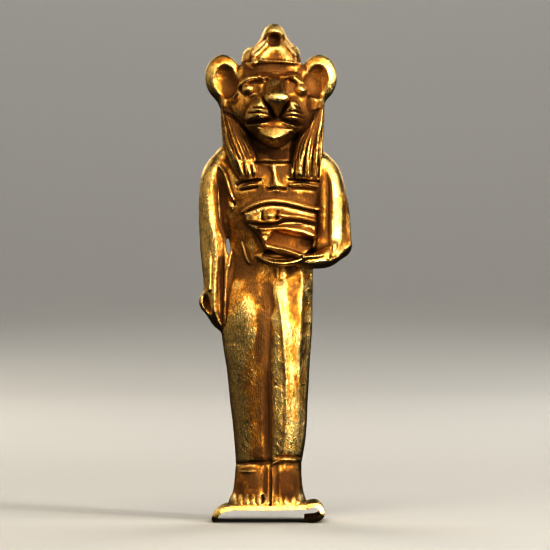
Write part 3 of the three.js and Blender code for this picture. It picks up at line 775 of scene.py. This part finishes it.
gold = {
    "pale": (0.95, 0.74, 0.36, 1),
    # deep: darker orange gold, a shaded copy of the pale gold, painted as shade in the flats and hollows
    "deep": (0.86, 0.45, 0.07, 1),
    "film": (0.44, 0.265, 0.105, 1),
    # near-black: dirt in pits and file marks, and painted shade in nooks and in the darkened regions
    "darkDirtAndShade": (0.10, 0.035, 0.01, 1),
    "polished": 0.19,
    "rubbed": 0.29,
    "filmRoughness": 0.62,
    "bumpHeight": 0.00005,
    # what gathers the film and the deep gold that paints shade, or keeps them off
    "weights": {"Nook": 1.3, "Basin": 1.0, "Engraved": 0.5, "Valley": 0.9, "Dull": 0.7, "Crest": -2.6},
    "filmPatches": 900.0,
    "filmUneven": 0.9,
    "deepShadeFrom": (-0.1, 0.7),  # share of film at which deep gold begins and is whole
    "filmFrom": (0.3, 0.95),
    # turns of the file, most and least share of the surface, and a shift of the patches
    "fileDirections": ((0.0, 1.0, 0.6, 0.0), (1.0, 0.9, 0.25, 3.1), (-1.0, 0.9, 0.25, 7.7)),
    "filePatches": (420.0, 0.4, 0.55),  # fineness, and where a patch begins and is whole
    "fileBright": (0.56, 0.68),
    "fileDark": (0.42, 0.3),
    "fileFineness": 14000.0,
    "fileStretch": 0.09,
    "fileTurn": 0.6,
    "pitPatches": (700.0, 0.5, 0.62),
    "pitScale": 1600.0,
    "pitSize": 0.2,
    # pale colour on the bright file dashes, as painted glints
    "paleGlintsInMarks": 0.6,
    "sootInPits": 0.7,
    "sootInMarks": 0.45,
    # painted shade: nooks and the darkened regions fade to near-black
    "paintedShadeInNooks": (0.55, 1.0, 0.0, 0.5),
    "paintedShadeInDull": (1.0, 1.6, 0.0, 0.6),
    "grainScale": 5500.0,
    "grainHeight": 0.8,
    "pitHeight": 1.2,
}


def newGroup(name, inputs, outputs):
    return newTree(name, "ShaderNodeTree", {"Place": "Vector", **dict.fromkeys(inputs, "Float")},
                   dict.fromkeys(outputs, "Float"))


# Reddish film that stays in the recesses and is rubbed off the crests, and the deep gold share that paints
# shade in the flats and hollows
def makeFilmAndShadeGroup():
    given = newGroup("recessPatinaAndShade", [*gold["weights"], "Amount", "Patch Scale"], ["Deep", "Film"])
    patches = noise(given["Place"], given["Patch Scale"], 4.0, 0.6)
    cavity = 0.0
    for label, weight in gold["weights"].items():
        cavity = plus(cavity, times(given[label], weight))
    total = plus(times(cavity, given["Amount"]), times(minus(patches, 0.5), gold["filmUneven"]))
    make("NodeGroupOutput", {0: spread(total, *gold["deepShadeFrom"]), 1: spread(total, *gold["filmFrom"])})
    return bench["tree"]


# Fine file marks: dashes along the piece and slanting both ways, in patches; the bright dashes also paint
# glints in pale gold
def makeFileGroup():
    given = newGroup("fileMarks", ["Fineness", "Stretch", "Turn"], ["Height", "Bright", "Dark"])
    height, bright, dark = 0.0, 0.0, 0.0
    fineness, start, end = gold["filePatches"]
    for turn, share, least, shift in gold["fileDirections"]:
        angle = times(given["Turn"], turn)
        turned = make("ShaderNodeVectorRotate", {"Vector": given["Place"], "Angle": angle},
                      rotation_type="Y_AXIS")
        drawnOut = vectors("MULTIPLY", turned, vector(1.0, 1.0, given["Stretch"]))
        dashes = noise(drawnOut, given["Fineness"], 1.5)
        where = noise(vectors("ADD", given["Place"], (shift, shift, shift)), fineness, 1.0)
        here = spread(where, start, end, least, share)
        height = plus(height, times(dashes, here))
        bright = most(bright, times(spread(dashes, *gold["fileBright"]), here))
        dark = most(dark, times(spread(dashes, *gold["fileDark"]), here))
    make("NodeGroupOutput", {0: height, 1: bright, 2: dark})
    return bench["tree"]


# Small casting pits and nicks
def makePitGroup():
    given = newGroup("castingPits", ["Scale", "Size"], ["Pits"])
    away = make("ShaderNodeTexVoronoi", {"Vector": given["Place"], "Scale": given["Scale"]}, "Distance",
                feature="F1")
    fineness, start, end = gold["pitPatches"]
    pitted = spread(noise(given["Place"], fineness), start, end)
    make("NodeGroupOutput", {0: times(spread(away, 0.0, given["Size"], 1.0, 0.0), pitted)})
    return bench["tree"]


groups = {"film": makeFilmAndShadeGroup(), "file": makeFileGroup(), "pits": makePitGroup()}


def grouped(name, place, values):
    return make("ShaderNodeGroup", {"Place": place, **values}, None, node_tree=groups[name])


# Worn high-carat gold: pale and polished on the crests, deep as painted shade in the flats, filmed in the
# recesses
def makeGold(name, filmAmount, fileStrength):
    material = bpy.data.materials.new(name)
    material.use_nodes = True
    bench["tree"] = material.node_tree
    place = make("ShaderNodeTexCoord", None, "Object")
    masks = {label: make("ShaderNodeAttribute", None, "Fac", attribute_name=label.lower())
             for label in gold["weights"]}
    film = grouped("film", place, {**masks, "Amount": filmAmount, "Patch Scale": gold["filmPatches"]})
    marks = grouped("file", place, {"Fineness": gold["fileFineness"], "Stretch": gold["fileStretch"],
                                    "Turn": gold["fileTurn"]})
    pits = grouped("pits", place, {"Scale": gold["pitScale"], "Size": gold["pitSize"]})["Pits"]
    # pale share: rubbed crests stay pale, and the rest turns deep gold as painted shade
    wornAndLit = most(minus(1.0, film["Deep"]), times(marks["Bright"], gold["paleGlintsInMarks"]))
    colour = blendColours(film["Film"], blendColours(wornAndLit, gold["deep"], gold["pale"]), gold["film"])
    dirtAndShadeShare = most(times(pits, gold["sootInPits"]), times(marks["Dark"], gold["sootInMarks"]))
    # painted shade: nooks and regions with a force above 1 go near-black
    dirtAndShadeShare = most(dirtAndShadeShare, spread(masks["Nook"], *gold["paintedShadeInNooks"]))
    dirtAndShadeShare = most(dirtAndShadeShare, spread(masks["Dull"], *gold["paintedShadeInDull"]), clamp=True)
    colour = blendColours(dirtAndShadeShare, colour, gold["darkDirtAndShade"])
    rough = spread(marks["Bright"], 0.0, 1.0, gold["rubbed"], gold["polished"])
    rough = plus(times(rough, minus(1.0, film["Film"])), times(film["Film"], gold["filmRoughness"]))
    grain = noise(place, gold["grainScale"], 3.0, 0.6)
    height = plus(times(marks["Height"], fileStrength), times(grain, gold["grainHeight"]))
    height = minus(height, times(pits, gold["pitHeight"]))
    bump = make("ShaderNodeBump", {"Strength": 1.0, "Distance": gold["bumpHeight"], "Height": height})
    shader = material.node_tree.nodes["Principled BSDF"]
    for label, value in (("Base Color", colour), ("Roughness", rough), ("Normal", bump)):
        material.node_tree.links.new(value, shader.inputs[label])
    shader.inputs["Metallic"].default_value = 1.0
    return material


castGold = makeGold("castGold", 1.0, 1.0)
sheetGold = makeGold("sheetGold", 0.5, 0.6)

print("engraving")

casting = {
    "dentWidth": 16,
    "dentDepth": 0.6,
    "rippleWidth": 4,
    "rippleDepth": 0.15,
    "triangles": 185000,
    "reaches": ((1.7, 1), (6, 2), (14, 4)),  # how far clay is looked for, and every how many cells
    # for each mask the number of its reach, its force and its start
    "masks": {"nook": (0, 5, 0), "basin": (1, 3.5, 0), "valley": (2, 3, 0.35), "crest": (0, -5, 0)},
    "dullEdge": (0.45, 1.25),
    "dullFront": (-4, 8),
}


# The soft dents that a hand-filed wax or casting keeps
def makeHandFinish():
    given = newForm("handFinish", [], ["Dent Scale", "Dent Depth", "Ripple Scale", "Ripple Depth"])
    place = make("GeometryNodeInputPosition")
    moves = [times(minus(noise(place, given[kind + " Scale"]), 0.5), given[kind + " Depth"])
             for kind in ("Dent", "Ripple")]
    return endForm(pushed(given["Geometry"], plus(*moves)), given["Material"])


def makeEngraver():
    given = newForm("engraver", ["Strokes"], ["Width", "Depth"])
    strokes = make("GeometryNodeObjectInfo", {"Object": given["Strokes"]}, "Geometry")
    at = {0: strokes, "Sample Position": make("GeometryNodeInputPosition")}
    away = make("GeometryNodeProximity", at, "Distance", target_element="EDGES")
    nearest = make("GeometryNodeSampleNearest", at, domain="POINT")
    strength = make("GeometryNodeSampleIndex", {"Geometry": strokes, "Value": named("strength"),
                                                "Index": nearest}, data_type="FLOAT", domain="POINT")
    cutIn = times(spread(away, 0.0, given["Width"], 1.0, 0.0), strength)
    moved = pushed(given["Geometry"], times(times(cutIn, given["Depth"]), -1.0))
    return endForm(stored(moved, "engraved", most(named("engraved"), cutIn)), given["Material"])


# Lines spaced evenly from one edge to the other, both lists of [x, level]
def between(left, right, count, wander=0.25, strength=(0.5, 1.1)):
    left, right = np.array(left, float), np.array(right, float)
    scatter = np.random.default_rng(count)
    shares = [(i + 0.5 + scatter.uniform(-wander, wander)) / count for i in range(count)]
    return [[[x, level, scatter.uniform(*strength)] for x, level in left + (right - left) * share]
            for share in shares]


engraving = {
    "strand": {
        "width": 1.5, "depth": 1.1, "back": False,
        "lines": between([[-51, 402], [-48.5, 382], [-47, 364], [-40, 348]],
                         [[-39, 398], [-28, 376], [-16, 361], [-11, 348]], 8)
        + between([[42, 396], [33, 378], [24, 362], [20, 348]],
                  [[55, 400], [55, 382], [54, 364], [53, 346]], 8),
    },
    "back": {
        "width": 2.6, "depth": 1.4, "back": True,
        "lines": between([[-46, 424], [-49, 384], [-42, 340], [-30, 302]],
                         [[50, 424], [54, 384], [48, 340], [36, 302]], 11),
    },
    "whisker": {
        "width": 1.4, "depth": 1.5, "back": False,
        "lines": [
            [[-3, 397.5, 0.2], [-9, 398, 1], [-17.5, 399.5, 0.6]],
            [[0, 392, 0.3], [-9, 393, 1], [-22.5, 394, 0.7]],
            [[1, 389, 0.3], [-11, 387.5, 1], [-24, 386.5, 0.8]],
            [[22, 402, 0.4], [26, 400.5, 1], [31, 397, 0.5]],
            [[15, 394, 0.3], [23, 395, 1], [33, 393.5, 0.8]],
            [[12, 390, 0.3], [22, 390.5, 1], [34, 389, 0.8]],
            [[12, 386.4, 0.3], [22, 386.2, 1], [34.5, 384.4, 0.8]],
        ],
    },
}


# Fine strokes laid on the clay, through points [x, level, strength]
def strokesObject(name, lines, back):
    points, edges, strength = [], [], []
    for line in lines:
        last = None
        for x, level, force in drawn(line, 14):
            place = surfaceAt(x, level, back)
            if place is None:
                last = None
                continue
            if last is not None:
                edges.append((last, len(points)))
            last = len(points)
            points.append(place)
            strength.append(float(force))
    mesh = bpy.data.meshes.new(name)
    mesh.from_pydata(points, edges, [])
    mark(mesh, "strength", strength)
    return newObject(name, mesh)


useTree(figure, makeHandFinish(), {
    "Dent Scale": 1 / (casting["dentWidth"] * square), "Dent Depth": casting["dentDepth"] * square,
    "Ripple Scale": 1 / (casting["rippleWidth"] * square), "Ripple Depth": casting["rippleDepth"] * square,
    "Material": castGold})
engraver = makeEngraver()
helpers = []
for label, work in engraving.items():
    helpers.append(strokesObject(label + "Strokes", work["lines"], work["back"]))
    useTree(figure, engraver, {"Strokes": helpers[-1], "Width": work["width"] * square,
                               "Depth": work["depth"] * square, "Material": castGold})
settle(figure)
thinner = figure.modifiers.new("thin", "DECIMATE")
thinner.ratio = min(1.0, casting["triangles"] / 2 / len(figure.data.polygons))
settle(figure)
for helper in helpers:
    bpy.data.objects.remove(helper)


# Solid averaged over a box of the given reach in cells, twice each way
def blurred(solid, reach):
    for axis in range(3):
        for _ in range(2):
            moved = np.moveaxis(solid, axis, 0)
            padded = np.concatenate([moved[:1].repeat(reach + 1, 0), moved, moved[-1:].repeat(reach, 0)])
            sums = np.cumsum(padded, 0, dtype=np.float32)
            moved = (sums[2 * reach + 1:] - sums[:-2 * reach - 1]) / (2 * reach + 1)
            solid = np.moveaxis(moved, 0, axis)
    return solid


# Values of a field of the given cell size at places in squares
def sampled(field, places, step):
    at = (places - np.array(clayBlock["low"])) / step
    low = np.clip(np.floor(at).astype(int), 0, np.array(field.shape) - 2)
    t = np.clip(at - low, 0, 1)
    total = np.zeros(len(places))
    for corner in range(8):
        pick = np.array([corner & 1, corner >> 1 & 1, corner >> 2 & 1])
        weight = np.prod(np.where(pick, t, 1 - t), axis=1)
        i, j, k = (low + pick).T
        total += weight * field[i, j, k]
    return total


# Attributes of how much clay surrounds each point: nook, basin and valley in hollows, crest on edges
def markHollows(mesh, places, solid):
    found = []
    for reach, skip in casting["reaches"]:
        mean = blurred(solid[::skip, ::skip, ::skip], max(1, round(reach / cell / skip)))
        found.append(sampled(mean, places, cell * skip) - 0.5)
    for label, (which, force, start) in casting["masks"].items():
        mark(mesh, label, np.clip(found[which] * force + start, 0, 1).astype(np.float32))


# Regions of the front where film lies whatever the carving, partly as film and partly as painted shade: [x,
# level, half width, half height, force].
# A force above 1 also darkens as painted shade, and one below 0 keeps the film off, as on a rubbed crest,
# and paints a highlight in pale gold.
filmShadeAndHighlightRegions = [[-22, 20, 18, 24, 1.3], [16, 20, 18, 24, 1.5], [0, 5, 40, 7, 1.2], [-2, 20, 7, 26, 1.8],
    [4, 342, 24, 22, 0.9], [3, 358, 26, 10, 1.6], [4, 438, 38, 9, 1.1], [10, 230, 36, 6, 0.3],
    [-13, 419.5, 6, 6, 0.9], [21, 420, 6, 7, 0.9], [5, 382, 26, 5, 0.8], [12, 380, 12, 5, 1.0],
    [-13, 110, 16, 80, 0.75], [-8, 110, 7, 76, 1.3], [-3, 90, 5, 75, 1.5], [-10, 50, 13, 12, 1.3],
    [-9, 43, 18, 6, 1.7], [-10, 160, 9, 56, 1.25], [23, 120, 6, 90, 0.55], [23, 208, 13, 36, 0.75],
    [75, 298, 8, 52, 0.8], [-50, 300, 7, 40, 0.5], [-59.5, 318, 5, 30, 0.7], [-50, 215, 4.5, 42, 0.3],
    [-38, 215, 5, 40, 0.2], [-30, 280, 11, 38, 0.6], [-50, 447, 17, 10, 1.2], [52, 447, 17, 10, 1.2],
    [-48, 392, 6, 24, 0.9], [46, 386, 7, 20, 1.2], [8, 351, 14, 7, 1.8], [41, 404, 7, 14, 1.7],
    [-36, 408, 6, 9, 1.5], [-4, 206, 9, 18, 1.3], [-19, 208, 18, 26, 0.8], [-25, 234, 15, 14, 1.1],
    [10, 314, 40, 8, 1.2], [38, 312, 12, 6, 1.2], [6, 422, 10, 14, 0.8], [53, 290, 8, 46, 1.0],
    [60, 247, 16, 5, 0.9], [36, 264, 10, 7, 1.6], [30, 281.5, 20, 2.5, 1.6], [71, 345, 9, 12, 1.5],
    [84, 262, 9, 16, 1.3], [-40, 398, 10, 24, 0.9], [45, 402, 10, 24, 1.3], [-36, 370, 13, 20, 0.9],
    [-20, 354, 10, 10, 0.9], [41, 376, 12, 20, 1.1], [4.5, 469, 8, 6, 1.6], [5, 457, 14, 6, 0.6],
    [5, 365, 18, 5, -1.2], [-15, 395, 9, 7, -0.8], [23, 394, 10, 7, -0.8], [-22, 337, 10, 9, -1],
    [36, 337, 13, 9, -1], [0, 290, 20, 5, -0.8], [28, 275, 16, 4, -1], [30, 277.5, 16, 3, -2.4],
    [-4, 272, 8, 7, -2], [-24, 180, 9, 22, -0.6], [22, 66, 10, 16, -0.6], [-6, 378, 8, 4, -1.2],
    [44, 298.6, 6, 2, -2.4], [34, 301, 8, 2, -2.4], [21, 304, 8, 2, -2.4], [6, 306, 9, 2, -2.4],
    [-8, 304.6, 8, 2, -2.4], [-20, 300.6, 6, 2, -2.4], [-23, 417, 4.5, 4.5, -1], [31, 416, 4.5, 4.5, -1],
    [-7.5, 429, 6, 3, -1], [16, 430.5, 6, 3, -1], [15, 92, 3, 44, -1], [20, 62, 10, 15, -1.5],
    [-40, 200, 4, 24, -0.8], [-14, 288, 10, 5, -2], [12.5, 175, 3, 56, -1.4], [64, 300, 3, 42, -1]]


# Attribute of the film, painted shade and painted highlight regions, softly bounded
def markFilmShadeAndHighlights(mesh, places):
    dull = np.zeros(len(places))
    for x, level, width, height, force in filmShadeAndHighlightRegions:
        away = np.hypot((places[:, 0] - x) / width, (places[:, 2] - level) / height)
        share = force * (1 - ramp(away, *casting["dullEdge"]))
        dull = np.where(share < 0, np.minimum(dull, share), np.maximum(dull, share))
    mark(mesh, "dull", (dull * ramp(-places[:, 1], *casting["dullFront"])).astype(np.float32))


points = np.empty(len(figure.data.vertices) * 3, np.float32)
figure.data.vertices.foreach_get("co", points)
places = (points.reshape(-1, 3) - np.array(origin)) / square
markHollows(figure.data, places, np.clip(0.5 - clay / cell, 0, 1))
markFilmShadeAndHighlights(figure.data, places)
onRoot(figure, "figure")

print("foot-plate")

footPlate = {
    "outline": [(-57, -18), (-58.6, -14), (-56.5, -10), (-52.5, -5.6), (-47, -2.8), (-40, -1.2),
        (-30, -0.6), (0, -0.8), (20, -0.5), (34, -0.2), (39, 1), (45, 2), (49.5, 1), (53, -3), (55, -8),
        (54, -12), (50, -15.6), (44, -17.4), (35, -17.8)],
    "back": 42,
    "thickness": 4.6,
    "corner": 12,
    "unevenness": 0.9,
    "rim": 1.2,
    "rimAngle": 50,
    "lip": 2.2,
    "wavesAlongEdge": 7.0,
    "dentScale": 330.0,
    "seed": 4.0,
}


# Sheet of even thickness that follows a bent path, with rounded plan corners and a wavy cut edge
def makeSheetTree():
    given = newForm("bentSheet", ["Path"],
                    ["Front", "Depth", "Thickness", "Corner", "Unevenness", "Lip", "Seed"])
    path = make("GeometryNodeObjectInfo", {"Object": given["Path"]}, "Geometry")
    curve = make("GeometryNodeMeshToCurve", {0: path})
    length = make("GeometryNodeCurveLength", {0: curve})
    grid = make("GeometryNodeMeshGrid", {"Size X": 1.0, "Size Y": 1.0, "Vertices X": 150, "Vertices Y": 90},
                "Mesh")
    atX, atY, _ = make("ShaderNodeSeparateXYZ", {0: make("GeometryNodeInputPosition")}, None)
    share = plus(atX, 0.5)
    depthShare = plus(atY, 0.5)
    onPath = make("GeometryNodeSampleCurve", {"Curves": curve, "Factor": share}, None, mode="FACTOR")
    pathX, _, pathZ = make("ShaderNodeSeparateXYZ", {0: onPath["Position"]}, None)
    toEnd = times(maths("MINIMUM", share, minus(1.0, share)), length)
    gone = minus(1.0, maths("DIVIDE", toEnd, given["Corner"]), clamp=True)
    arc = maths("SQRT", minus(1.0, times(gone, gone)))
    inset = times(given["Corner"], minus(1.0, arc))
    alongEdge = noise(vector(share, given["Seed"]), footPlate["wavesAlongEdge"], 3.0, noise_dimensions="2D")
    wave = times(minus(alongEdge, 0.5), times(given["Unevenness"], 3.0))
    inset = plus(inset, maths("ABSOLUTE", wave))
    width = minus(given["Depth"], times(inset, 2.0))
    spot = vector(pathX, plus(plus(given["Front"], inset), times(depthShare, width)), pathZ)
    normal = vectors("CROSS_PRODUCT", onPath["Tangent"], (0.0, 1.0, 0.0))
    dent = times(minus(noise(spot, footPlate["dentScale"]), 0.5), given["Unevenness"])
    spot = vectors("ADD", spot, vectors("SCALE", normal, dent))
    facing = stored(grid, "facing", normal, "FLOAT_VECTOR")
    top = make("GeometryNodeSetPosition", {"Geometry": facing, "Position": spot})
    inward = vectors("SCALE", named("facing", "FLOAT_VECTOR"), times(given["Thickness"], -1.0))
    sunk = make("GeometryNodeExtrudeMesh", {"Mesh": top, "Offset": inward, "Offset Scale": 1.0,
                                            "Individual": False}, None, mode="FACES")
    middle = plus(given["Front"], times(given["Depth"], 0.5))
    out = times(given["Lip"], maths("DIVIDE", minus(atY, middle), given["Depth"]))
    under = make("GeometryNodeSetPosition", {"Geometry": sunk[0], "Selection": sunk["Top"],
                                             "Offset": vector(0.0, times(out, 2.0))})
    whole = make("GeometryNodeJoinGeometry", {0: under})
    bench["tree"].links.new(make("GeometryNodeFlipFaces", {0: top}), whole.node.inputs[0])
    return endForm(make("GeometryNodeMergeByDistance", {"Geometry": whole, "Distance": 1e-6}),
                   given["Material"])


def makeFootPlate():
    points = [inPlace(x, 0, level) for x, level in drawn(footPlate["outline"], 8)]
    mesh = bpy.data.meshes.new("platePath")
    mesh.from_pydata(points, [(i, i + 1) for i in range(len(points) - 1)], [])
    path = newObject("platePath", mesh)
    plate = newObject("footPlate", bpy.data.meshes.new("footPlate"))
    front = canon["plateFront"] + footPlate["lip"]
    values = {label: footPlate[label.lower()] * square
              for label in ("Thickness", "Corner", "Unevenness", "Lip")}
    useTree(plate, makeSheetTree(), {
        **values, "Path": path, "Front": origin.y + front * square,
        "Depth": (footPlate["back"] - footPlate["lip"] - front) * square, "Seed": footPlate["seed"],
        "Material": sheetGold})
    bevel = plate.modifiers.new("rim", "BEVEL")
    bevel.width = footPlate["rim"] * square
    bevel.segments = 3
    bevel.limit_method = "ANGLE"
    bevel.angle_limit = math.radians(footPlate["rimAngle"])
    settle(plate)
    bpy.data.objects.remove(path)
    shell = bmesh.new()
    shell.from_mesh(plate.data)
    bmesh.ops.recalc_face_normals(shell, faces=shell.faces)
    shell.to_mesh(plate.data)
    shell.free()
    onRoot(plate, "foot_plate")


makeFootPlate()

print("stage, lights and camera")

stage = {"wide": 1.6, "front": -1.6, "back": 1.3, "high": 1.3, "bend": 1.1, "paper": (0.6, 0.59, 0.57, 1),
         "paperRoughness": 0.9}
warm = (1, 0.92, 0.76)
soft = (1, 0.95, 0.86)
lights = [
    {"name": "keyRight", "place": (0.31, -0.15, 0.14), "size": (0.15, 0.29), "power": 0.55},
    {"name": "keyEdge", "place": (0.235, -0.24, 0.12), "size": (0.03, 0.26), "power": 0.66},
    {"name": "frontTop", "place": (0.03, -0.24, 0.33), "size": (0.4, 0.2), "power": 0.7, "tint": soft},
    {"name": "leftFill", "place": (-0.3, -0.1, 0.14), "size": (0.16, 0.28), "power": 0.2, "tint": warm},
    {"name": "leftRim", "place": (-0.28, 0.14, 0.1), "size": (0.22, 0.3), "power": 0.1, "tint": warm},
    {"name": "backLeft", "place": (-0.12, 0.27, 0.17), "size": (0.1, 0.24), "power": 0.22, "tint": soft},
    {"name": "backRight", "place": (0.12, 0.27, 0.17), "size": (0.1, 0.24), "power": 0.18},
    {"name": "frontFill", "place": (-0.03, -0.4, 0.18), "size": (0.3, 0.4), "power": 0.52,
     "tint": (1, 0.96, 0.88)},
    {"name": "paperLight", "place": (0.0, 0.6, 1.0), "size": (1.8, 0.5), "power": 9, "aim": (0, 1.0, 0.1),
     "mirrored": False},
]
view = {"lens": 300, "sensor": 36, "width": 0.055, "middle": (5, 231), "gamma": 0.52, "exposure": 0.2,
        "surroundings": (0.04, 0.036, 0.03, 1)}


def makeStage():
    mesh = bpy.data.meshes.new("stageFloor")
    back, bend, wide, bends = stage["back"], stage["bend"], stage["wide"], 16
    profile = [(stage["front"], 0.0)]
    for i in range(bends + 1):
        turn = math.pi / 2 * i / bends
        profile.append((back - bend + bend * math.sin(turn), bend - bend * math.cos(turn)))
    profile.append((back, stage["high"]))
    vertices = [(x, y, z) for y, z in profile for x in (-wide, wide)]
    faces = [(2 * i, 2 * i + 1, 2 * i + 3, 2 * i + 2) for i in range(len(profile) - 1)]
    mesh.from_pydata(vertices, [], faces)
    paper = bpy.data.materials.new("palePaper")
    paper.use_nodes = True
    shader = paper.node_tree.nodes["Principled BSDF"]
    shader.inputs["Base Color"].default_value = stage["paper"]
    shader.inputs["Roughness"].default_value = stage["paperRoughness"]
    mesh.materials.append(paper)
    smooth(mesh)
    floor = newObject("stageFloor", mesh)
    floor.visible_glossy = False


def makeLight(name, place, size, power, tint=(1, 1, 1), aim=(0, 0, 0.026), mirrored=True):
    light = bpy.data.lights.new(name, "AREA")
    light.shape = "RECTANGLE"
    light.size, light.size_y = size
    light.energy = power
    light.color = tint
    lamp = newObject(name, light)
    lamp.location = place
    lamp.rotation_euler = (Vector(aim) - Vector(place)).to_track_quat("-Z", "Y").to_euler()
    lamp.visible_glossy = mirrored
    lamp.visible_camera = False


def makeCamera():
    data = bpy.data.cameras.new("camera")
    data.lens, data.sensor_width = view["lens"], view["sensor"]
    data.clip_start, data.clip_end = 0.01, 10
    camera = newObject("camera", data)
    x, level = view["middle"]
    away = view["width"] * view["lens"] / view["sensor"]
    camera.location = (origin.x + x * square, cadLow.y - away, origin.z + level * square)
    camera.rotation_euler = (math.pi / 2, 0, 0)
    bpy.context.scene.camera = camera


makeStage()
for light in lights:
    makeLight(**light)
makeCamera()
world = bpy.data.worlds.new("studio")
world.use_nodes = True
world.node_tree.nodes["Background"].inputs["Color"].default_value = view["surroundings"]
bpy.context.scene.world = world
bpy.context.scene.view_settings.view_transform = "Standard"
bpy.context.scene.view_settings.gamma = view["gamma"]
bpy.context.scene.view_settings.exposure = view["exposure"]
